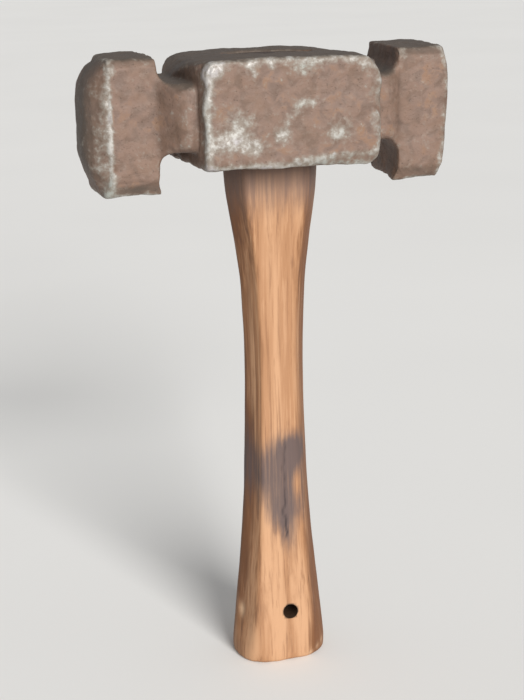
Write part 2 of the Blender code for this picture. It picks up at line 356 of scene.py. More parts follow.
class Graph:
    """A material's nodes."""

    def __init__(self, name: str) -> None:
        """Start an empty material.

        Args:
            name: The material's name.
        """
        self.material = bpy.data.materials.new(name)
        self.material.use_nodes = True
        self.tree = self.material.node_tree
        self.tree.nodes.clear()

    def node(
        self,
        kind: str,
        settings: dict[str, Any] | None = None,
        inputs: dict[str | int, Any] | None = None,
    ) -> bpy.types.Node:
        """Add a node.

        Args:
            kind: The node's type.
            settings: Its own settings, which are set first.
            inputs: Numbers, colours, values or sockets for its inputs.

        Returns:
            The node.
        """
        made = self.tree.nodes.new(kind)
        for name, setting in (settings or {}).items():
            setattr(made, name, setting)
        for key, given in (inputs or {}).items():
            source = given.socket if isinstance(given, Value) else given
            if isinstance(source, bpy.types.NodeSocket):
                self.tree.links.new(source, made.inputs[key])
            else:
                made.inputs[key].default_value = source
        return made

    def place(self, stretch: Point = (1.0, 1.0, 1.0)) -> bpy.types.NodeSocket:
        """Return the object's own coordinates.

        Args:
            stretch: How the pattern is squeezed along each axis.

        Returns:
            The coordinates.
        """
        source = self.node("ShaderNodeTexCoord").outputs["Object"]
        made = self.node("ShaderNodeMapping", None, {"Vector": source, "Scale": stretch})
        return made.outputs["Vector"]

    def cloud(
        self,
        place: bpy.types.NodeSocket,
        size: float,
        detail: float = 4.0,
        roughness: float = 0.55,
        distortion: float = 0.0,
    ) -> Value:
        """Add noise.

        Args:
            place: The coordinates.
            size: The size of its largest lumps.
            detail: How many finer layers it has.
            roughness: How strong they are.
            distortion: How far it is warped.

        Returns:
            The noise, from 0 to 1.
        """
        inputs = {
            "Vector": place,
            "Scale": 1 / size,
            "Detail": detail,
            "Roughness": roughness,
            "Distortion": distortion,
        }
        return Value(self, self.node("ShaderNodeTexNoise", None, inputs).outputs["Fac"])

    def layer(self, layer: Layer) -> Value:
        """Read a value stored on the mesh.

        Args:
            layer: The layer that holds it.

        Returns:
            The value.
        """
        made = self.node("ShaderNodeAttribute", {"attribute_name": layer.value})
        return Value(self, made.outputs["Fac"])

    def mix(self, share: Value | float, first: Shade, second: Shade) -> bpy.types.NodeSocket:
        """Mix two colours.

        Args:
            share: How much of the second there is.
            first: The first colour.
            second: The second colour.

        Returns:
            The mixed colour.
        """
        made = self.node(
            "ShaderNodeMix",
            {"data_type": "RGBA", "clamp_factor": True},
            {0: share, 6: first, 7: second},
        )
        return made.outputs[2]

    def finish(
        self,
        colour: Shade,
        roughness: Value | float,
        metallic: Value | float = 0.0,
        height: Value | None = None,
        relief: float = 0.1 * MM,
        shine: float = 0.35,
    ) -> bpy.types.Material:
        """Close the material with a Principled shader.

        Args:
            colour: Its colour.
            roughness: Its roughness.
            metallic: How metallic it is.
            height: Its fine relief, from 0 to 1.
            relief: How deep the relief is.
            shine: How strongly its bare surface reflects.

        Returns:
            The material.
        """
        inputs = {
            "Base Color": colour,
            "Roughness": roughness,
            "Metallic": metallic,
            "Specular IOR Level": shine,
        }
        if height is not None:
            bump = self.node("ShaderNodeBump", None, {"Height": height, "Distance": relief})
            inputs["Normal"] = bump.outputs["Normal"]
        shader = self.node("ShaderNodeBsdfPrincipled", None, inputs)
        self.node("ShaderNodeOutputMaterial", None, {"Surface": shader.outputs["BSDF"]})
        return self.material


@dataclass(frozen=True)
class ForgedSteel:
    """Brown forge patina, worn bright on edges and rubbed patches, with painted shade on tops,
    chamfers and creases and painted highlights along some edges.
    """

    umber: Colour = tone(87, 69, 57)
    clay: Colour = tone(112, 89, 75)
    mauve: Colour = tone(113, 92, 81)
    ash: Colour = tone(126, 110, 98)
    rust: Colour = tone(124, 92, 66)
    # Dark specks, and painted shade in the creases.
    soot: Colour = tone(40, 34, 30)
    # Painted shade for what faces up and for the listed spots.
    shade_brown: Colour = tone(74, 66, 58)
    iron: Colour = tone(122, 114, 104)
    bright: Colour = tone(163, 159, 153)
    verdigris: Colour = tone(128, 136, 126)
    lilac: Colour = tone(142, 134, 142)
    lump: float = 12 * MM
    mottle: float = 4.5 * MM
    crumb: float = 2.0 * MM
    speck: float = 1.1 * MM

    def material(self) -> bpy.types.Material:
        """Mix the patina, the worn and highlighted metal, and the painted shade.

        Returns:
            The steel's material.
        """
        graph = Graph("forged_steel_patina")
        place = graph.place()
        lump = graph.cloud(place, self.lump, detail=5.0)
        mottle = graph.cloud(place, self.mottle, detail=4.0, roughness=0.5, distortion=0.5)
        crumb = graph.cloud(place, self.crumb, detail=4.0, roughness=0.6)
        speck = graph.cloud(place, self.speck, detail=2.0, roughness=0.5)
        colour = graph.mix(lump.above(0.38, 0.6), self.clay, self.mauve)
        colour = graph.mix(mottle.above(0.6, 0.32) * 0.62, colour, self.umber)
        colour = graph.mix(crumb.above(0.5, 0.7) * 0.25, colour, self.ash)
        rusty = lump.above(0.48, 0.62) * mottle.above(0.44, 0.62)
        colour = graph.mix(rusty * 0.55, colour, self.rust)
        colour = graph.mix(speck.above(0.34, 0.25) * 0.35, colour, self.soot)
        # Painted shade darkens the creases.
        colour = graph.mix(graph.layer(Layer.HOLLOW) * 0.3, colour, self.soot)
        # Painted shade on what faces up and on the listed spots.
        colour = graph.mix(graph.layer(Layer.SHADE_AND_GRIME) * 0.8, colour, self.shade_brown)
        grain = (mottle - 0.5) + (crumb - 0.5) * 1.1
        # Worn edges and rubbed patches, with painted highlights and glints on some edges.
        wear_and_highlight = 1 - (1 - graph.layer(Layer.EDGE)) * (1 - graph.layer(Layer.RUB_AND_HIGHLIGHT) * 0.86)
        grey = (wear_and_highlight + grain).above(0.12, 0.65)
        white = (wear_and_highlight + grain * 1.6).above(0.45, 1.15)
        metal = graph.mix(lump.above(0.52, 0.64) * 0.4, self.bright, self.lilac)
        metal = graph.mix(graph.layer(Layer.TINT) * 0.55, metal, self.verdigris)
        colour = graph.mix(grey * 0.85, colour, self.iron)
        colour = graph.mix(white, colour, metal)
        roughness = 0.62 - white * 0.17 + (mottle - 0.5) * 0.2
        metallic = 0.06 + white * 0.2
        height = mottle * 0.6 + crumb * 0.35 - speck.above(0.4, 0.26) * 0.15
        return graph.finish(colour, roughness, metallic, height, 0.5 * MM)


@dataclass(frozen=True)
class HandleWood:
    """Bare handled wood: warm, straight-grained, smudged with soot."""

    pale: Colour = tone(174, 134, 101)
    tan: Colour = tone(152, 111, 79)
    brown: Colour = tone(101, 63, 37)
    grime: Colour = tone(104, 86, 78)
    smudge: Colour = tone(78, 68, 68)
    crack: Colour = tone(44, 36, 36)
    chip: Colour = tone(200, 168, 136)
    # Painted shade for the hang hole and the tenon inside the eye.
    hollow_shade: Colour = tone(26, 20, 16)

    def material(self) -> bpy.types.Material:
        """Mix the grain, the brown patches and painted shade, and the marks.

        Returns:
            The handle's material.
        """
        graph = Graph("handle_wood_grain")
        band = graph.cloud(graph.place((1.0, 1.0, 0.05)), 8 * MM, detail=3.0, distortion=0.5)
        fibre = graph.cloud(graph.place((1.0, 1.0, 0.035)), 1.3 * MM, detail=5.0, roughness=0.6)
        patch = graph.cloud(graph.place((1.0, 1.0, 0.3)), 9 * MM, detail=4.0, roughness=0.6)
        tick = graph.cloud(graph.place((1.0, 1.0, 0.06)), 0.8 * MM, detail=2.0)
        colour = graph.mix(band.above(0.38, 0.6), self.pale, self.tan)
        colour = graph.mix(patch.above(0.5, 0.7) * 0.45, colour, self.tan)
        colour = graph.mix(fibre.above(0.5, 0.68) * 0.36, colour, self.brown)
        colour = graph.mix(fibre.above(0.47, 0.32) * 0.6, colour, self.pale)
        colour = graph.mix(patch.above(0.56, 0.72) * 0.3, colour, self.brown)
        colour = graph.mix(tick.above(0.66, 0.76) * 0.3, colour, self.brown)
        streak = (fibre - 0.5) + (band - 0.5) * 0.5
        # Brown staining, and painted shade on the flats facing left and under the head.
        stain_and_shade = (graph.layer(Layer.STAIN_AND_SHADE) + streak).above(0.05, 1.0)
        colour = graph.mix(stain_and_shade * 0.9, colour, self.brown)
        grime = (graph.layer(Layer.SHADE_AND_GRIME) + streak * 0.8).above(0.1, 1.1)
        colour = graph.mix(grime * 0.85, colour, self.grime)
        smudge = (graph.layer(Layer.SMUDGE) + streak + (patch - 0.5) * 0.9).above(0.05, 1.0)
        colour = graph.mix(smudge * 0.9, colour, self.smudge)
        crack = graph.layer(Layer.CRACK) * (patch + fibre).above(0.75, 1.15)
        colour = graph.mix(crack, colour, self.crack)
        # Painted shade in the hang hole and up the tenon.
        colour = graph.mix(graph.layer(Layer.HOLLOW), colour, self.hollow_shade)
        colour = graph.mix(graph.layer(Layer.CHIP), colour, self.chip)
        roughness = 0.56 + (fibre - 0.5) * 0.3
        height = fibre * 0.6 + band * 0.25 - tick.above(0.62, 0.76) * 0.2
        return graph.finish(colour, roughness, 0.0, height, 0.25 * MM, shine=0.2)


@dataclass(frozen=True)
class WedgeWood:
    """End grain of the wooden wedge, dark with oil."""

    pale: Colour = tone(84, 64, 48)
    dark: Colour = tone(56, 41, 30)
    oil: Colour = tone(50, 34, 24)

    def material(self) -> bpy.types.Material:
        """Mix the growth rings and the oil.

        Returns:
            The wooden wedge's material.
        """
        graph = Graph("wedge_wood_grain")
        ring = graph.cloud(graph.place((0.25, 1.0, 0.1)), 0.9 * MM, detail=3.0)
        speck = graph.cloud(graph.place(), 0.5 * MM, detail=2.0)
        colour = graph.mix(ring.above(0.35, 0.65), self.pale, self.dark)
        colour = graph.mix(speck.above(0.55, 0.7) * 0.5, colour, self.oil)
        return graph.finish(colour, 0.7 + (speck - 0.5) * 0.2, 0.0, ring, 0.15 * MM)


@dataclass(frozen=True)
class WedgeSteel:
    """Hammered steel of the cross wedges."""

    dull: Colour = tone(78, 70, 64)
    bright: Colour = tone(140, 136, 130)

    def material(self) -> bpy.types.Material:
        """Mix the dull and the worn steel.

        Returns:
            The steel wedges' material.
        """
        graph = Graph("wedge_steel_hammered")
        dent = graph.cloud(graph.place(), 1.4 * MM, detail=4.0)
        speck = graph.cloud(graph.place(), 0.4 * MM, detail=3.0)
        worn = (dent * 0.7 + speck * 0.3).above(0.42, 0.62)
        colour = graph.mix(worn, self.dull, self.bright)
        return graph.finish(colour, 0.5 - worn * 0.15, 0.55 + worn * 0.3, dent, 0.2 * MM)


@dataclass(frozen=True)
class StudioFloor:
    """Pale, even studio paper."""

    paper: Colour = tone(232, 230, 226)
    fleck: Colour = tone(225, 223, 219)
    cloud_size: float = 0.35

    def material(self) -> bpy.types.Material:
        """Mix two close tones of paper.

        Returns:
            The floor's material.
        """
        graph = Graph("studio_paper")
        soft = graph.cloud(graph.place(), self.cloud_size, detail=2.0)
        colour = graph.mix(soft, self.paper, self.fleck)
        return graph.finish(colour, 0.9)


def face_outward(bm: bmesh.types.BMesh) -> None:
    """Turn a closed shell's faces outward.

    Args:
        bm: The shell.
    """
    bm.normal_update()
    bmesh.ops.recalc_face_normals(bm, faces=bm.faces)
    if bm.calc_volume(signed=True) < 0:
        bmesh.ops.reverse_faces(bm, faces=bm.faces)


def new_object(name: str, bm: bmesh.types.BMesh) -> bpy.types.Object:
    """Turn a bmesh into an object with its faces pointing out.

    Args:
        name: The object's name.
        bm: The bmesh, which is freed.

    Returns:
        The object, linked to the scene.
    """
    face_outward(bm)
    mesh = bpy.data.meshes.new(name)
    bm.to_mesh(mesh)
    bm.free()
    made = bpy.data.objects.new(name, mesh)
    bpy.context.scene.collection.objects.link(made)
    return made


def settle(item: bpy.types.Object, tools: Sequence[bpy.types.Object] = ()) -> None:
    """Apply an object's modifiers and throw their tools away.

    Args:
        item: The object.
        tools: Objects that its modifiers used.
    """
    depsgraph = bpy.context.evaluated_depsgraph_get()
    depsgraph.update()
    shaped = bpy.data.meshes.new_from_object(item.evaluated_get(depsgraph))
    old = item.data
    item.modifiers.clear()
    item.data = shaped
    shaped.name = item.name
    bpy.data.meshes.remove(old)
    for tool in tools:
        bpy.data.objects.remove(tool, do_unlink=True)


def cut_away(item: bpy.types.Object, tool: bpy.types.Object) -> None:
    """Cut a tool's shape out of an object, once its modifiers are applied.

    Args:
        item: The object that is cut.
        tool: What is cut away.
    """
    modifier = item.modifiers.new(tool.name, "BOOLEAN")
    modifier.operation = "DIFFERENCE"
    modifier.object = tool
    modifier.solver = "EXACT"
    tool.hide_render = True


def box_mesh(low: Point, high: Point) -> bmesh.types.BMesh:
    """Make a box between two corners.

    Args:
        low: Its lowest corner.
        high: Its highest corner.

    Returns:
        The box.
    """
    bm = bmesh.new()
    bmesh.ops.create_cube(bm, size=1.0)
    span = Vector(high) - Vector(low)
    middle = (Vector(high) + Vector(low)) / 2
    bmesh.ops.scale(bm, vec=span, verts=bm.verts)
    bmesh.ops.translate(bm, vec=middle, verts=bm.verts)
    return bm


def slice_along(bm: bmesh.types.BMesh, axis: Axis, places: Iterable[float]) -> None:
    """Cut extra edge loops square to an axis.

    Args:
        bm: The mesh.
        axis: The axis that the cuts are square to.
        places: Where they are along it.
    """
    direction = Vector([float(axis.value == i) for i in range(3)])
    for place in places:
        bmesh.ops.bisect_plane(
            bm,
            geom=bm.verts[:] + bm.edges[:] + bm.faces[:],
            plane_co=direction * place,
            plane_no=direction,
            dist=0.001 * MM,
        )


def ease_edges(
    bm: bmesh.types.BMesh,
    offset: float,
    segments: int,
    wanted: Callable[[bmesh.types.BMEdge], bool],
) -> None:
    """Bevel the edges that a test picks.

    Args:
        bm: The mesh.
        offset: How wide the bevel is.
        segments: How many faces it has across.
        wanted: The test.
    """
    bmesh.ops.bevel(
        bm,
        geom=[edge for edge in bm.edges if wanted(edge)],
        offset=offset,
        offset_type="OFFSET",
        segments=segments,
        profile=0.5,
        affect="EDGES",
        material=-1,
        clamp_overlap=True,
    )


def plane_off(bm: bmesh.types.BMesh, place: Point, outward: Point) -> None:
    """Cut away what lies beyond a plane and close the cut.

    Args:
        bm: The mesh.
        place: A point on the plane.
        outward: The direction towards what is cut away.
    """
    cut = bmesh.ops.bisect_plane(
        bm,
        geom=bm.verts[:] + bm.edges[:] + bm.faces[:],
        plane_co=place,
        plane_no=Vector(outward).normalized(),
        clear_outer=True,
    )
    rim = [item for item in cut["geom_cut"] if isinstance(item, bmesh.types.BMEdge)]
    bmesh.ops.contextual_create(bm, geom=rim)


def merge(shells: Iterable[bmesh.types.BMesh]) -> bmesh.types.BMesh:
    """Gather several shells in one bmesh.

    Args:
        shells: The shells, which are freed.

    Returns:
        One bmesh that holds them all.
    """
    whole = bmesh.new()
    for shell in shells:
        face_outward(shell)
        carrier = bpy.data.meshes.new("carrier")
        shell.to_mesh(carrier)
        shell.free()
        whole.from_mesh(carrier)
        bpy.data.meshes.remove(carrier)
    return whole


def oval_ring(
    bm: bmesh.types.BMesh,
    segments: int,
    height: float,
    outline: Callable[[float], tuple[float, float]],
) -> list[bmesh.types.BMEdge]:
    """Add a level ring of a given outline.

    Args:
        bm: The mesh.
        segments: How many points it has.
        height: Its height.
        outline: Gives the place of the point at an angle.

    Returns:
        The ring's edges.
    """
    made = bmesh.ops.create_circle(bm, cap_ends=False, segments=segments, radius=1.0)
    edges = set()
    for vert in made["verts"]:
        x, y = outline(math.atan2(vert.co.y, vert.co.x))
        vert.co = (x, y, height)
        edges.update(vert.link_edges)
    return list(edges)


def skin(bm: bmesh.types.BMesh, rings: Sequence[list[bmesh.types.BMEdge]]) -> None:
    """Bridge rings in order and close the first and the last.

    Args:
        bm: The mesh that holds the rings.
        rings: Each ring's edges.
    """
    for lower, upper in zip(rings, rings[1:]):
        bmesh.ops.bridge_loops(bm, edges=lower + upper)
    for ring in (rings[0], rings[-1]):
        bmesh.ops.contextual_create(bm, geom=ring)


@dataclass
class Eye:
    """The oval hole through the block, waisted at mid height."""

    length: float = 34.0 * MM
    depth: float = 23.0 * MM
    flare: float = 1.5 * MM
    segments: int = 96
    levels: int = 8

    def outline(self, share: float, clearance: float) -> Callable[[float], tuple[float, float]]:
        """Return the oval at a level.

        Args:
            share: The level, from -1 at the block's foot to 1 at its top.
            clearance: How far it is drawn in.

        Returns:
            A function from an angle to a place.
        """
        grown = self.flare * min(1.0, share ** 2) - clearance
        half_x = self.length / 2 + grown
        half_y = self.depth / 2 + grown
        return lambda turn: (half_x * math.cos(turn), half_y * math.sin(turn))


@dataclass
class ForgedHead:
    """The head: two polls, two necks and the pierced block, one forging."""

    eye: Eye
    offset: float = -0.6 * MM
    poll_depth: float = 38.0 * MM
    poll_length: float = 19.0 * MM
    poll_top_chamfer: float = 3.4 * MM
    poll_foot_chamfer: float = 5.3 * MM
    top_chamfer_depth: float = 2.2 * MM
    foot_chamfer_depth: float = 3.4 * MM
    face_power: float = 6.0
    face_fullness: float = 3.4
    neck_depth: float = 46.0 * MM
    neck_height: float = 25.5 * MM
    neck_rise: float = 3.5 * MM
    neck_corner: float = 3.2 * MM
    fuller_radius: float = 6.0 * MM
    fuller_width: float = 10.0 * MM
    block_length: float = 75.0 * MM
    block_height: float = 40.2 * MM
    block_rise: float = 4.6 * MM
    block_crown: float = 2.6 * MM
    block_end_round: float = 5.0 * MM
    block_fall: float = 1.0 * MM
    block_edge: float = 1.6 * MM
    cheek_draw: float = 4.0 * MM
    worn_edge: float = 3.4 * MM
    worn_middle: float = 16.0 * MM
    worn_slope: Point = (0.05, -0.84, -0.54)
    eye_wall: float = 7.0 * MM
    side_bulge: float = 5.5 * MM
    bulge_peak: float = 0.3
    front_arch: float = 0.9 * MM
    voxel: float = 0.75 * MM
    wave_size: float = 16.0 * MM
    wave_depth: float = 0.45 * MM
    dent_size: float = 5.0 * MM
    dent_depth: float = 0.2 * MM
    nick_size: float = 6.0 * MM
    nick_depth: float = 0.9 * MM
    pushes: tuple[Push, ...] = field(default_factory=tuple)
    bare_edges: tuple[Spot, ...] = field(default_factory=tuple)
    # Rubbed patches, and painted highlight lines and glints.
    rubs_and_highlights: tuple[Spot, ...] = field(default_factory=tuple)
    # Spots of painted shade.
    shade_and_stains: tuple[Spot, ...] = field(default_factory=tuple)
    tints: tuple[Spot, ...] = field(default_factory=tuple)

    def __post_init__(self) -> None:
        """Take the outer sizes and heights from the frame."""
        self.low, self.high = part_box(Piece.HEAD.value)
        self.middle = (self.low.z + self.high.z) / 2
        self.poll_height = self.high.z - self.low.z
        self.block_depth = self.high.y - self.low.y
        self.block_foot = self.middle + self.block_rise - self.block_height / 2
        self.block_top = self.block_foot + self.block_height
        self.neck_foot = self.middle + self.neck_rise - self.neck_height / 2
        self.neck_top = self.neck_foot + self.neck_height
        self.wall = self.block_length / 2 + self.fuller_width
        self.face_edge = self.wall + self.poll_length

    def block(self) -> bpy.types.Object:
        """Model the barrel-sided block with its eye.

        Returns:
            The block.
        """
        half_cheek = self.block_length / 2 - self.cheek_draw
        half_depth = self.block_depth / 2
        bm = box_mesh(
            (-half_cheek, -half_depth, self.block_foot),
            (half_cheek, half_depth, self.block_top),
        )
        ease_edges(bm, self.block_edge, 3, lambda edge: True)
        slice_along(bm, Axis.X, np.linspace(-0.95, 0.95, 20) * half_cheek)
        slice_along(bm, Axis.Y, np.linspace(-0.9, 0.9, 13) * half_depth)
        for vert in bm.verts:
            self._barrel(vert, half_cheek, half_depth)
        worn_place = (self.worn_middle, self.low.y, self.block_foot + self.worn_edge)
        plane_off(bm, worn_place, self.worn_slope)
        bmesh.ops.translate(bm, vec=(self.offset, 0, 0), verts=bm.verts)
        block = new_object("head_block", bm)
        drift = new_object("eye_drift", self._drift())
        cut_away(block, drift)
        settle(block, [drift])
        return block

    def _barrel(self, vert: bmesh.types.BMVert, half_cheek: float, half_depth: float) -> None:
        """Push a point of the block out to its barrel sides and arched top.

        Args:
            vert: The point.
            half_cheek: Half the cheek's length.
            half_depth: Half the block's depth.
        """
        behind = vert.co.y / half_depth
        level = 2 * (vert.co.z - self.block_foot) / self.block_height - 1
        bulge = ease(-1.0, self.bulge_peak - 0.2, behind) * ease(1.1, self.bulge_peak + 0.2, behind)
        if vert.co.x > 0:
            bulge = 1 - abs(behind) ** 3
        vert.co.x *= 1 + self.side_bulge * bulge * (1.15 - 0.4 * level ** 2) / half_cheek
        share = min(1.0, abs(vert.co.x) / (self.block_length / 2))
        beyond = max(0.0, share - 0.78) / 0.22
        drop = self.block_crown * share ** 3 + self.block_end_round * beyond ** 2
        drop = drop * ease(-1.0, 0.4, behind) + self.block_fall * max(0.0, behind)
        arch = self.front_arch * (1 - share ** 2) * ease(0.6, -0.8, behind)
        vert.co.z += (arch - drop) * max(0.0, level)

    def _drift(self) -> bmesh.types.BMesh:
        """Model the tool that opens the eye.

        Returns:
            The tool, longer than the eye.
        """
        bm = bmesh.new()
        rings = []
        past = 4 * MM
        for step in range(-1, self.eye.levels + 2):
            share = 2 * step / self.eye.levels - 1
            inside = min(max(step / self.eye.levels, 0.0), 1.0)
            height = self.block_foot + self.block_height * inside
            height += past * ((step > self.eye.levels) - (step < 0))
            outline = self.eye.outline(share, 0.0)
            rings.append(oval_ring(bm, self.eye.segments, height, outline))
        skin(bm, rings)
        return bm

    def neck(self, side: int) -> bmesh.types.BMesh:
        """Model a neck that flares into its poll.

        Args:
            side: -1 for the left neck and 1 for the right.

        Returns:
            The neck.
        """
        inner = self.eye.length / 2 + self.eye_wall
        start = self.wall - self.fuller_radius
        half = self.neck_depth / 2
        bm = box_mesh((inner, -half, self.neck_foot), (start, half, self.neck_top))
        ease_edges(bm, self.neck_corner, 4, lambda e: abs((e.verts[0].co - e.verts[1].co).x) > MM)
        outer = max(bm.faces, key=lambda face: face.calc_center_median().x)
        height = self.neck_height
        depth = self.neck_depth
        reach = start
        steps = 8
        # The last step runs 1 mm into the poll, so that the weld joins them.
        for step in range(1, steps + 2):
            turn = math.pi / 2 * min(step / steps, 1.0)
            lift = self.fuller_radius * (1 - math.cos(turn))
            narrow = (self.neck_depth - self.poll_depth) * math.sin(turn) ** 1.5
            place = start + self.fuller_radius * math.sin(turn) + MM * (step > steps)
            outer = bmesh.ops.extrude_discrete_faces(bm, faces=[outer])["faces"][0]
            new_height = self.neck_height + 2 * lift
            new_depth = self.neck_depth - narrow
            centre = Vector((place, 0, (self.neck_foot + self.neck_top) / 2))
            shift = Vector((place - reach, 0, 0))
            bmesh.ops.translate(bm, vec=shift, verts=outer.verts[:])
            bmesh.ops.scale(
                bm,
                vec=(1, new_depth / depth, new_height / height),
                verts=outer.verts[:],
                space=Matrix.Translation(-centre),
            )
            height, depth, reach = new_height, new_depth, place
        bmesh.ops.scale(bm, vec=(side, 1, 1), verts=bm.verts)
        bmesh.ops.translate(bm, vec=(self.offset, 0, 0), verts=bm.verts)
        return bm

    def poll(self, side: int, rise: float) -> bmesh.types.BMesh:
        """Model a poll with its chamfers and its domed face.

        Args:
            side: -1 for the left poll and 1 for the right.
            rise: How far the face stands out in its middle.

        Returns:
            The poll.
        """
        half = self.poll_depth / 2
        bm = box_mesh((self.wall, -half, self.low.z), (self.face_edge, half, self.high.z))
        for way in (-1, 1):
            top_edge = (self.wall, way * half, self.high.z - self.poll_top_chamfer)
            foot_edge = (self.wall, way * half, self.low.z + self.poll_foot_chamfer)
            plane_off(bm, top_edge, (0, way * self.poll_top_chamfer, self.top_chamfer_depth))
            plane_off(bm, foot_edge, (0, way * self.poll_foot_chamfer, -self.foot_chamfer_depth))
        slice_along(bm, Axis.Y, np.linspace(-0.9, 0.9, 13) * half)
        heights = np.linspace(-0.95, 0.95, 17) * self.poll_height / 2 + self.middle
        slice_along(bm, Axis.Z, heights)
        for vert in bm.verts:
            if vert.co.x > self.face_edge - MM:
                across = abs(vert.co.y / half) ** self.face_power
                up = abs((vert.co.z - self.middle) / (self.poll_height / 2)) ** self.face_power
                spread = min(1.0, (across + up) ** (1 / self.face_power))
                vert.co.x += rise * (1 - spread ** self.face_fullness)
        bmesh.ops.scale(bm, vec=(side, 1, 1), verts=bm.verts)
        bmesh.ops.translate(bm, vec=(self.offset, 0, 0), verts=bm.verts)
        return bm

    def forge(self) -> bpy.types.Object:
        """Weld the shells into one skin and hammer it.

        Returns:
            The head, without its finish.
        """
        block = self.block()
        round_rise = -self.low.x + self.offset - self.face_edge
        flat_rise = self.high.x - self.offset - self.face_edge
        shells = [
            self.neck(-1),
            self.neck(1),
            self.poll(-1, round_rise),
            self.poll(1, flat_rise),
        ]
        whole = merge(shells)
        whole.from_mesh(block.data)
        bpy.data.objects.remove(block, do_unlink=True)
        mesh = bpy.data.meshes.new("forged_head")
        whole.to_mesh(mesh)
        whole.free()
        head = bpy.data.objects.new("forged_head", mesh)
        bpy.context.scene.collection.objects.link(head)
        weld = head.modifiers.new("weld", "REMESH")
        weld.mode = "VOXEL"
        weld.voxel_size = self.voxel
        weld.adaptivity = 0.0
        soften = head.modifiers.new("soften", "SMOOTH")
        soften.factor = 0.5
        soften.iterations = 3
        settle(head)
        self._hammer(head.data)
        head.data.shade_smooth()
        return head

    def _hammer(self, mesh: bpy.types.Mesh) -> None:
        """Dent and nick the skin, and store where it is worn and where highlights and shade are
        painted on it.

        Args:
            mesh: The head's mesh.
        """
        surface = Surface(mesh)
        for push in self.pushes:
            surface.move(push.offsets(surface.points))
        points = surface.points.astype(float)
        sharp = smooth_step(45, 160, surface.bend(2))
        normals = surface.normals()
        waves = fractal(points, self.wave_size, 3) * self.wave_depth
        dents = fractal(points, self.dent_size, 3, 7.0) * self.dent_depth
        nicks = np.clip(fractal(points, self.nick_size, 2, 3.0) + 0.1, 0, 1)
        nicks = nicks * sharp * self.nick_depth
        surface.move(normals * (waves + dents - nicks)[:, None])
        bend = surface.bend(3)
        points = surface.points.astype(float)
        # The cheeks' rims and the polls' faces take the knocks.
        exposed = 0.5 * smooth_step(30 * MM, 34 * MM, np.abs(points[:, 1]))
        exposed += 0.5 * smooth_step(60 * MM, 65 * MM, np.abs(points[:, 0]))
        exposed += weigh_all(self.bare_edges, points)
        edges = surface.spread(smooth_step(20, 150, bend), 4) * np.clip(exposed, 0.2, 1)
        surface.store(Layer.EDGE, edges)
        # Painted shade darkens what faces up, and the listed spots.
        level = surface.spread(surface.normals()[:, 2], 4)
        painted_shade = smooth_step(0.35, 0.9, level) + weigh_all(self.shade_and_stains, points)
        surface.store(Layer.SHADE_AND_GRIME, painted_shade)
        # Painted shade darkens the creases.
        surface.store(Layer.HOLLOW, surface.spread(smooth_step(25, 140, -bend), 2))
        # Rubbed patches, and painted highlight lines and glints on some edges.
        surface.store(Layer.RUB_AND_HIGHLIGHT, weigh_all(self.rubs_and_highlights, points))
        surface.store(Layer.TINT, weigh_all(self.tints, points))

    def build(self) -> bpy.types.Object:
        """Make the head and fit it into the frame.

        Returns:
            The head, dressed.
        """
        head = self.forge()
        head.data.materials.append(ForgedSteel().material())
        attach(head, BODY)
        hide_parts(Piece.HEAD.value)
        return head


@dataclass(frozen=True)
class Station:
    """The handle's widths at a height."""

    height: float
    length: float
    depth: float


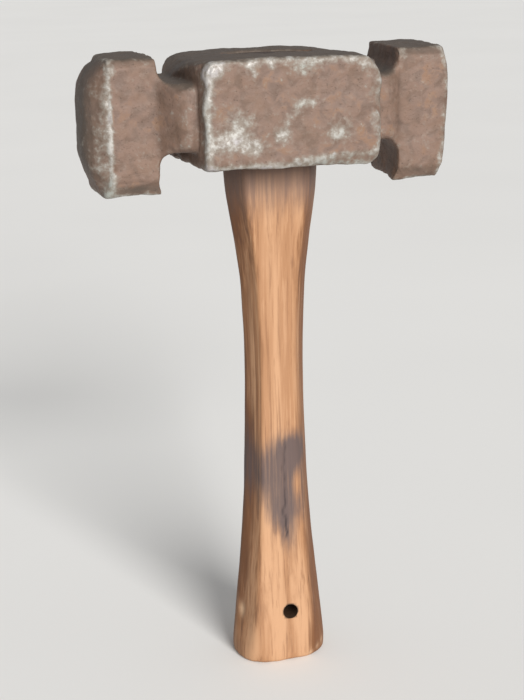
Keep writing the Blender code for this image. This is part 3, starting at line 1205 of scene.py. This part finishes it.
@dataclass
class Handle:
    """The handle: flat front and back, two flats on each side, a flared butt and a tenon."""

    eye: Eye
    fit: float = 0.3 * MM
    left_slope: float = math.radians(21)
    right_slope: float = math.radians(29)
    crispness: float = 26.0
    softness: float = 9.0
    butt_softness: float = 3.6
    butt_ease: float = 1.8 * MM
    hole_diameter: float = 6.0 * MM
    hole_height: float = 22.0 * MM
    hole_offset: float = 1.5 * MM
    shoulder: float = 211.7 * MM
    shoulder_lip: float = 0.4 * MM
    block_height: float = 40.2 * MM
    segments: int = 128
    ring_spacing: float = 1.4 * MM
    grain_size: float = 9.0 * MM
    grain_stretch: float = 0.22
    grain_depth: float = 0.35 * MM
    chip_depth: float = 0.6 * MM
    crack_depth: float = 0.3 * MM
    smudges: tuple[Spot, ...] = field(default_factory=tuple)
    # Brown staining, and painted shade under the head.
    shade_and_stains: tuple[Spot, ...] = field(default_factory=tuple)
    cracks: tuple[Spot, ...] = field(default_factory=tuple)
    chips: tuple[Spot, ...] = field(default_factory=tuple)

    def __post_init__(self) -> None:
        """Take the tenon's and the butt's places from the frame."""
        self.low, self.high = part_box(Piece.HANDLE.value)
        past_eye = 2 * (self.eye.flare + self.shoulder_lip)
        shoulder_length = self.eye.length + past_eye
        shoulder_depth = self.eye.depth + past_eye
        self.stations = (
            Station(0.0, 38.6 * MM, 30.3 * MM),
            Station(7 * MM, self.high.x - self.low.x, self.high.y - self.low.y),
            Station(43 * MM, 32.0 * MM, 26.1 * MM),
            Station(62 * MM, 28.9 * MM, 24.5 * MM),
            Station(97 * MM, 25.4 * MM, 22.5 * MM),
            Station(120 * MM, 24.5 * MM, 22.0 * MM),
            Station(158 * MM, 26.2 * MM, 22.6 * MM),
            Station(177 * MM, 30.3 * MM, 24.0 * MM),
            Station(196 * MM, 36.5 * MM, 26.3 * MM),
            Station(self.shoulder - 6 * MM, shoulder_length, shoulder_depth),
            Station(self.shoulder, shoulder_length, shoulder_depth),
        )

    def _widths(self, height: float) -> tuple[float, float]:
        """Read the handle's length and depth at a height off a smooth curve.

        Args:
            height: The height.

        Returns:
            The length along X and the depth along Y.
        """
        places = [station.height for station in self.stations]
        index = min(max(np.searchsorted(places, height, "right") - 1, 0), len(places) - 2)
        before = self.stations[max(index - 1, 0)]
        first, second = self.stations[index], self.stations[index + 1]
        after = self.stations[min(index + 2, len(places) - 1)]
        span = second.height - first.height
        share = (height - first.height) / span

        def curve(name: str) -> float:
            """Blend one width through its four nearest stations.

            Args:
                name: The width's name.

            Returns:
                The width at the height.
            """
            start, end = getattr(first, name), getattr(second, name)
            slope_in = (end - getattr(before, name)) / max(second.height - before.height, MM)
            slope_out = (getattr(after, name) - start) / max(after.height - first.height, MM)
            square, cube = share ** 2, share ** 3
            return (
                (2 * cube - 3 * square + 1) * start
                + (cube - 2 * square + share) * span * slope_in
                + (3 * square - 2 * cube) * end
                + (cube - square) * span * slope_out
            )

        return curve("length"), curve("depth")

    def _outline(
        self, length: float, depth: float, height: float
    ) -> Callable[[float], tuple[float, float]]:
        """Return a section with soft-edged flats, which fade out at the butt.

        Args:
            length: Its width along X.
            depth: Its depth along Y.
            height: Its height.

        Returns:
            A function from an angle to a place.
        """
        flats = [(0.0, 1.0, depth / 2), (0.0, -1.0, depth / 2)]
        for side, lean in ((-1, self.left_slope), (1, self.right_slope)):
            reach = length / 2 * math.cos(lean)
            for way in (-1, 1):
                flats.append((side * math.cos(lean), way * math.sin(lean), reach))

        flatness = ease(-6 * MM, 34 * MM, height)

        def place(turn: float) -> tuple[float, float]:
            """Return the point of the section at an angle.

            Args:
                turn: The angle.

            Returns:
                Its place across and along the depth.
            """
            x, y = math.cos(turn), math.sin(turn)
            crispness = self.crispness + (self.softness - self.crispness) * ease(-0.5, 0.5, x)
            crispness = self.butt_softness + (crispness - self.butt_softness) * flatness
            pull = sum(max(0.0, (x * a + y * b) / d) ** crispness for a, b, d in flats)
            radius = pull ** (-1 / crispness) * (1 + (2 ** (1 / crispness) - 1) * x ** 2)
            return radius * x, radius * y

        return place

    def grip(self) -> bpy.types.Object:
        """Model the handle with its tenon as one skin.

        Returns:
            The handle, before its slots and hole are cut.
        """
        bm = bmesh.new()
        rings = []
        ease_steps = 5
        for step in range(ease_steps):
            turn = math.pi / 2 * step / ease_steps
            inset = self.butt_ease * (1 - math.sin(turn))
            height = self.butt_ease * (1 - math.cos(turn))
            length, depth = self._widths(height)
            outline = self._outline(length - 2 * inset, depth - 2 * inset, height)
            rings.append(oval_ring(bm, self.segments, height, outline))
        count = round((self.shoulder - self.butt_ease) / self.ring_spacing)
        for height in np.linspace(self.butt_ease, self.shoulder, count):
            outline = self._outline(*self._widths(float(height)), float(height))
            rings.append(oval_ring(bm, self.segments, float(height), outline))
        tenon_top = self.high.z
        tenon_foot = self.shoulder + self.fit
        for share in np.linspace(0, 1, 14):
            height = tenon_foot + (tenon_top - tenon_foot) * float(share)
            level = 2 * (height - self.shoulder) / self.block_height - 1
            outline = self.eye.outline(level, self.fit)
            rings.append(oval_ring(bm, self.segments, height, outline))
        skin(bm, rings)
        return new_object("wooden_handle", bm)

    def _drill(self) -> bmesh.types.BMesh:
        """Model the drill for the hanging hole.

        Returns:
            The drill, longer than the butt is deep.
        """
        bm = bmesh.new()
        bmesh.ops.create_cone(
            bm,
            cap_ends=True,
            segments=48,
            radius1=self.hole_diameter / 2,
            radius2=self.hole_diameter / 2,
            depth=2 * (self.high.y - self.low.y),
            matrix=Matrix.Rotation(math.pi / 2, 4, "X"),
        )
        bmesh.ops.translate(bm, vec=(self.hole_offset, 0, self.hole_height), verts=bm.verts)
        return bm

    def _slot(self, piece: Piece) -> bmesh.types.BMesh:
        """Model the tool that saws a wedge's slot.

        Args:
            piece: The wedge.

        Returns:
            A box a little larger than the wedge, open above.
        """
        low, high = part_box(piece.value)
        room = Vector((self.fit, self.fit, self.fit))
        return box_mesh(low - room, high + room + Vector((0, 0, 4 * MM)))

    def shape(self) -> bpy.types.Object:
        """Cut the handle's slots and hole, and work its surface.

        Returns:
            The handle, without its finish.
        """
        handle = self.grip()
        tools = [new_object("hang_hole_drill", self._drill())]
        for piece in (Piece.WOODEN_WEDGE, Piece.LEFT_WEDGE, Piece.RIGHT_WEDGE):
            tools.append(new_object(f"{piece.value}_saw", self._slot(piece)))
        for tool in tools:
            cut_away(handle, tool)
        settle(handle, tools)
        self._wear(handle.data)
        handle.data.shade_smooth()
        handle.data.set_sharp_from_angle(angle=math.radians(40))
        return handle

    def _wear(self, mesh: bpy.types.Mesh) -> None:
        """Give the wood its hand-shaped flats, chips and dirt, and store where shade is painted.

        Args:
            mesh: The handle's mesh.
        """
        surface = Surface(mesh)
        points = surface.points.astype(float)
        normals = surface.normals()
        long_points = points * np.array([1, 1, self.grain_stretch])
        free = 1 - smooth_step(self.shoulder - 3 * MM, self.shoulder, points[:, 2])
        relief = fractal(long_points, self.grain_size, 3) * self.grain_depth
        chips = weigh_all(self.chips, points)
        crack = weigh_all(self.cracks, points)
        relief -= chips * self.chip_depth + crack * self.crack_depth
        surface.move(normals * (relief * free)[:, None])
        heights = points[:, 2]
        grime = 0.9 * smooth_step(self.shoulder - 34 * MM, self.shoulder - 4 * MM, heights)
        grime += 0.6 * smooth_step(self.shoulder - 6 * MM, self.shoulder, heights)
        surface.store(Layer.SHADE_AND_GRIME, grime)
        surface.store(Layer.SMUDGE, weigh_all(self.smudges, points))
        surface.store(Layer.CRACK, crack)
        surface.store(Layer.CHIP, chips * 0.8)
        # Painted shade darkens the flats that face left, fading out towards the butt.
        shaded_flank = smooth_step(0.2, 0.5, -normals[:, 0]) * smooth_step(0, 60 * MM, heights)
        shade_and_stains = weigh_all(self.shade_and_stains, points) + 0.12 * surface.spread(shaded_flank, 2)
        surface.store(Layer.STAIN_AND_SHADE, shade_and_stains * free)
        # Painted shade fills the hang hole, with a thin dark rim round it, and darkens the tenon
        # inside the eye.
        away = np.hypot(points[:, 0] - self.hole_offset, heights - self.hole_height)
        hollow_shade = 1 - smooth_step(2.9 * MM, 3.35 * MM, away)
        hollow_shade += 0.75 * smooth_step(self.shoulder + 4 * MM, self.shoulder + 20 * MM, heights)
        surface.store(Layer.HOLLOW, hollow_shade)

    def build(self) -> bpy.types.Object:
        """Make the handle and fit it into the frame.

        Returns:
            The handle, dressed.
        """
        handle = self.shape()
        handle.data.materials.clear()
        handle.data.materials.append(HandleWood().material())
        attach(handle, BODY)
        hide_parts(Piece.HANDLE.value)
        return handle


@dataclass
class Wedges:
    """The wooden wedge and the two steel ones that cross it."""

    def build(self) -> list[bpy.types.Object]:
        """Dress the wedges, which keep their CAD shapes.

        Returns:
            The wedges.
        """
        wood = WedgeWood().material()
        steel = WedgeSteel().material()
        dressed = []
        for piece, material in (
            (Piece.WOODEN_WEDGE, wood),
            (Piece.LEFT_WEDGE, steel),
            (Piece.RIGHT_WEDGE, steel),
        ):
            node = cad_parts[piece.value]
            node.material_slots[0].material = material
            dressed.append(node)
        return dressed


@dataclass
class Studio:
    """Pale floor, soft light and the camera."""

    floor_size: float = 30.0
    azimuth: float = math.radians(15.09)
    elevation: float = math.radians(15.37)
    roll: float = math.radians(-1.15)
    distance: float = 662.8 * MM
    target: Point = (-4.8 * MM, 0.0, 132.2 * MM)
    sensor: float = 24.0
    lens: float = 55.76
    key_azimuth: float = math.radians(7.0)
    key_elevation: float = math.radians(21.0)
    key_spread: float = math.radians(26.0)
    key_power: float = 4.9
    air_colour: Colour = tone(240, 242, 245)
    air_strength: float = 0.44

    def _camera(self) -> None:
        """Set up the camera."""
        data = bpy.data.cameras.new("studio_camera")
        data.sensor_fit = "VERTICAL"
        data.sensor_height = self.sensor
        data.lens = self.lens
        data.clip_start = 10 * MM
        data.clip_end = 100.0
        camera = bpy.data.objects.new("studio_camera", data)
        bpy.context.scene.collection.objects.link(camera)
        turn = Matrix.Rotation(-self.azimuth, 4, "Z")
        tilt = Matrix.Rotation(math.pi / 2 - self.elevation, 4, "X")
        lean = Matrix.Rotation(self.roll, 4, "Z")
        pose = turn @ tilt @ lean
        back = pose @ Vector((0, 0, self.distance))
        camera.matrix_world = Matrix.Translation(Vector(self.target) + back) @ pose
        bpy.context.scene.camera = camera

    def _key_light(self) -> None:
        """Add a broad, distant light from low in front."""
        data = bpy.data.lights.new("key_light", "SUN")
        data.angle = self.key_spread
        data.energy = self.key_power
        item = bpy.data.objects.new("key_light", data)
        bpy.context.scene.collection.objects.link(item)
        turn = Matrix.Rotation(self.key_azimuth, 4, "Z")
        tilt = Matrix.Rotation(math.pi / 2 - self.key_elevation, 4, "X")
        item.matrix_world = turn @ tilt

    def _air(self) -> None:
        """Fill the shadows with even light from all round."""
        world = bpy.data.worlds.new("studio_air")
        world.use_nodes = True
        air = world.node_tree.nodes["Background"]
        air.inputs["Color"].default_value = self.air_colour
        air.inputs["Strength"].default_value = self.air_strength
        bpy.context.scene.world = world

    def build(self) -> None:
        """Set up the floor, the lights and the camera."""
        bm = bmesh.new()
        bmesh.ops.create_grid(bm, x_segments=1, y_segments=1, size=self.floor_size / 2)
        floor = new_object("studio_floor", bm)
        floor.data.materials.append(StudioFloor().material())
        self._key_light()
        self._air()
        bpy.context.scene.view_settings.view_transform = "Standard"
        self._camera()


def bare_edges() -> tuple[Spot, ...]:
    """Return where the head's edges are worn most."""
    return (
        Spot((-34, -36, 232), (7, 8, 26), 0.35),
        Spot((-20, -36, 211), (24, 6, 5), 0.35),
        Spot((-67, -19, 225), (3, 6, 40), 0.3),
        Spot((-57, -16, 201), (12, 6, 3), 0.6),
        Spot((0, 12, 252), (18, 6, 4), -0.4),
    )


def rubbed_and_highlight_places() -> tuple[Spot, ...]:
    """Return where the head is rubbed bright, and where highlight lines and glints are painted on
    its edges.
    """
    cheek = -36.0
    return (
        # The upper left corner and the left edge.
        Spot((-31, cheek, 250), (4.5, 3, 4.5), 1.1),
        Spot((-36.5, -33, 233), (2.4, 3, 20), 0.5),
        Spot((-37, -32, 246), (2.6, 4, 6), 0.35),
        Spot((-33, cheek, 241), (3, 3, 8), 0.6),
        Spot((-33.5, cheek, 226), (2.6, 3, 9), 0.5),
        # The large patch.
        Spot((-21.3, cheek, 229.5), (6.5, 3, 6), 0.7),
        Spot((-24, cheek, 223), (6.5, 3, 4.2), 0.7),
        Spot((-15.5, cheek, 220), (5, 3, 3.2), 0.75),
        Spot((-29.5, cheek, 221), (4, 3, 4), 0.4),
        # The arc in the middle.
        Spot((5, cheek, 236.3), (4.5, 3, 2.2), 0.75),
        Spot((0.5, cheek, 232.5), (3.4, 3, 3), 0.5),
        Spot((-3, cheek, 228), (3, 3, 4), 0.4),
        Spot((-5.6, cheek, 224.2), (3, 3, 3), 0.9),
        # The round patch on the right.
        Spot((17.4, cheek, 225), (5.5, 3, 4.4), 0.75),
        Spot((15.6, cheek, 223.6), (2, 3, 2), 0.5),
        # The top edge.
        Spot((-16.2, cheek, 250), (3, 3, 4), 0.7),
        Spot((-8.6, cheek, 251), (2.6, 3, 3), 0.6),
        Spot((4, cheek, 249), (6, 3, 4), 0.6),
        Spot((16, cheek, 251.5), (10, 3, 2), 0.45),
        Spot((28, cheek, 248.5), (4, 3, 3.5), 0.5),
        # The right edge, with painted glints.
        Spot((30.5, cheek, 239), (2.4, 3, 3), 0.5),
        Spot((30.5, cheek, 229), (2, 3, 5), 0.5),
        # The lower edge, with a painted highlight line and glints.
        Spot((21, cheek, 215.6), (12, 3, 1.4), 0.6),
        Spot((5, cheek, 214.8), (7, 3, 1.6), 0.65),
        Spot((18, -34, 212.8), (15, 3, 2.2), 0.4),
        Spot((-10, cheek, 212.6), (24, 3, 1.2), 0.5),
        # The domed poll, with a painted highlight line along its front edge.
        Spot((-66.6, -19, 222), (0.9, 1.6, 26), 0.9),
        Spot((-69.5, -16.5, 219), (3, 5, 14), 0.5),
        Spot((-69, -17, 238), (2.4, 3, 8), 0.45),
        Spot((-68, -17, 204), (2.5, 4, 5), 0.7),
        Spot((-57, -15.5, 201.1), (12, 3.5, 1.0), 1.0),
        # The flat poll.
        Spot((49.5, -18, 251), (1.8, 3, 5), 0.45),
        Spot((57, -15.5, 201.6), (10, 3.5, 1.0), 0.5),
    )


def painted_shade_places() -> tuple[Spot, ...]:
    """Return where painted shade darkens the head: the polls' chamfers, the block's top and the
    domed face.
    """
    return (
        Spot((-57, -17.5, 204), (12, 4, 2.0), 0.95),
        Spot((57, -17.5, 204.5), (12, 4, 2.4), 0.45),
        Spot((-36, -10, 249), (8, 16, 8), 0.5),
        Spot((-75, -3, 228), (5.5, 13, 28), 1.3),
        Spot((0, 11, 251), (18, 4, 5), 2.0),
        Spot((58, -18, 251.3), (11, 4, 1.8), 0.3),
    )


def forge_marks() -> tuple[Push, ...]:
    """Return the blows that make the head a little uneven."""
    return (
        Push(Spot((-67, -19, 212), (4, 14, 8)), (1.1, 0, 0)),
        Push(Spot((-38, -23, 228), (7, 7.5, 30)), (0, -7.0, 0)),
        Push(Spot((-68, 0, 201), (5, 60, 4)), (-2.6, 0, -0.7)),
        Push(Spot((-69, 12, 254), (4, 16, 4)), (1.4, 0, -1.4)),
        Push(Spot((-50, -18, 201), (5, 10, 3)), (1.6, -0.5, -0.5)),
        Push(Spot((68, 0, 238), (5, 40, 16)), (1.5, 0, 0)),
        Push(Spot((66, -16, 203), (5, 12, 4)), (-1.6, 0, 0)),
        Push(Spot((48, -16, 202), (5, 12, 4)), (-1.2, 0, -0.6)),
        Push(Spot((-34, -36, 234), (4, 7, 5)), (-0.7, 0, 0)),
        Push(Spot((-33, -36, 243), (3, 5, 3)), (0.8, 0, 0)),
        Push(Spot((-34, -35, 252), (2.5, 8, 2.5)), (0.7, 0, -0.7)),
        Push(Spot((30, -34, 212), (14, 10, 3)), (0, 0, -1.0)),
        Push(Spot((33, -34, 242), (4, 8, 5)), (1.1, 0, 0)),
        Push(Spot((33, -34, 226), (4, 8, 7)), (0.8, 0, 0)),
        Push(Spot((34, -32, 252), (4, 12, 4)), (-1.7, 0, -1.7)),
        Push(Spot((34, -32, 211), (3.5, 12, 3.5)), (-1.4, 0, 1.2)),
    )


def greened_places() -> tuple[Spot, ...]:
    """Return where the worn steel has a green cast."""
    return (
        Spot((4, -36, 249), (6, 4, 4), 1.0),
        Spot((20, -36, 213), (14, 4, 3), 0.9),
        Spot((2, -36, 233), (6, 4, 6), 0.7),
        Spot((-34, -36, 230), (3, 4, 8), 0.5),
        Spot((-22, -36, 232), (6, 4, 5), 0.5),
        Spot((-68, -17, 204), (3, 5, 6), 1.0),
        Spot((17, -36, 225), (5, 4, 4), 0.4),
    )


def handle_smudges() -> tuple[Spot, ...]:
    """Return where the handle is smudged with soot."""
    return (
        Spot((4, -12, 92), (8, 12, 7), 1.1),
        Spot((1, -12, 79), (10, 12, 11), 0.85),
        Spot((-7, -12, 82), (5, 12, 15), 0.35),
        Spot((0, -13, 66), (8, 8, 9), 0.8),
        Spot((1.5, -13, 54), (4, 8, 7), 0.4),
        Spot((6, -12, 77), (2, 5, 6), -0.55),
        Spot((-15, -2, 88), (5, 12, 18), 0.75),
        Spot((-8, -12, 88), (4, 12, 9), 0.25),
    )


def handle_stains_and_shade() -> tuple[Spot, ...]:
    """Return where the handle is browner than elsewhere; the first spot is painted shade under the
    head.
    """
    return (
        # Painted shadow of the head on the upper left flat.
        Spot((-18, -2, 198), (5, 12, 24), 1.3),
        Spot((-13, -2, 150), (4, 12, 40), 0.4),
        Spot((-14, -1, 86), (4.5, 10, 28), 1.6),
        Spot((-18, -3, 42), (6, 12, 30), 0.9),
        Spot((13.5, -8, 150), (5, 8, 60), 1.5),
        Spot((17.5, -9, 45), (6.5, 10, 50), 1.6),
        Spot((12, -14, 6), (3, 6, 9), 0.7),
    )


def handle_cracks() -> tuple[Spot, ...]:
    """Trace the dark crack that wanders down through the smudge.

    Returns:
        A chain of small spots.
    """
    spots = []
    for height in 96 - 0.95 * np.arange(44):
        drift = noise.noise(Vector((0, 0, height * 0.22))) * 1.7
        spots.append(Spot((0.4 + drift, -13, height), (0.4, 4, 0.9), 0.6))
    return tuple(spots)


def handle_chips() -> tuple[Spot, ...]:
    """Return where the handle is chipped."""
    return (
        Spot((-17.6, -4.5, 21.4), (1.6, 2.0, 3.0), 1.0),
        Spot((14.5, -12.5, 3.2), (1.2, 1.5, 1.2), 0.8),
        Spot((10.5, -14.2, 1.6), (1.0, 1.5, 1.0), 0.7),
        Spot((17.2, -9.0, 4.6), (1.0, 1.5, 1.4), 0.7),
    )


def main() -> None:
    """Build and dress the hammer and its studio."""
    eye = Eye()
    head = ForgedHead(
        eye,
        pushes=forge_marks(),
        bare_edges=bare_edges(),
        rubs_and_highlights=rubbed_and_highlight_places(),
        shade_and_stains=painted_shade_places(),
        tints=greened_places(),
    ).build()
    LOG.info("%s: %d faces", head.name, len(head.data.polygons))
    handle = Handle(
        eye,
        smudges=handle_smudges(),
        shade_and_stains=handle_stains_and_shade(),
        cracks=handle_cracks(),
        chips=handle_chips(),
    ).build()
    LOG.info("%s: %d faces", handle.name, len(handle.data.polygons))
    for wedge in Wedges().build():
        LOG.info("%s: dressed", wedge.name)
    Studio().build()
    LOG.info("studio: ready")


if __name__ == "__main__":
    logging.basicConfig(level=logging.INFO)
    main()
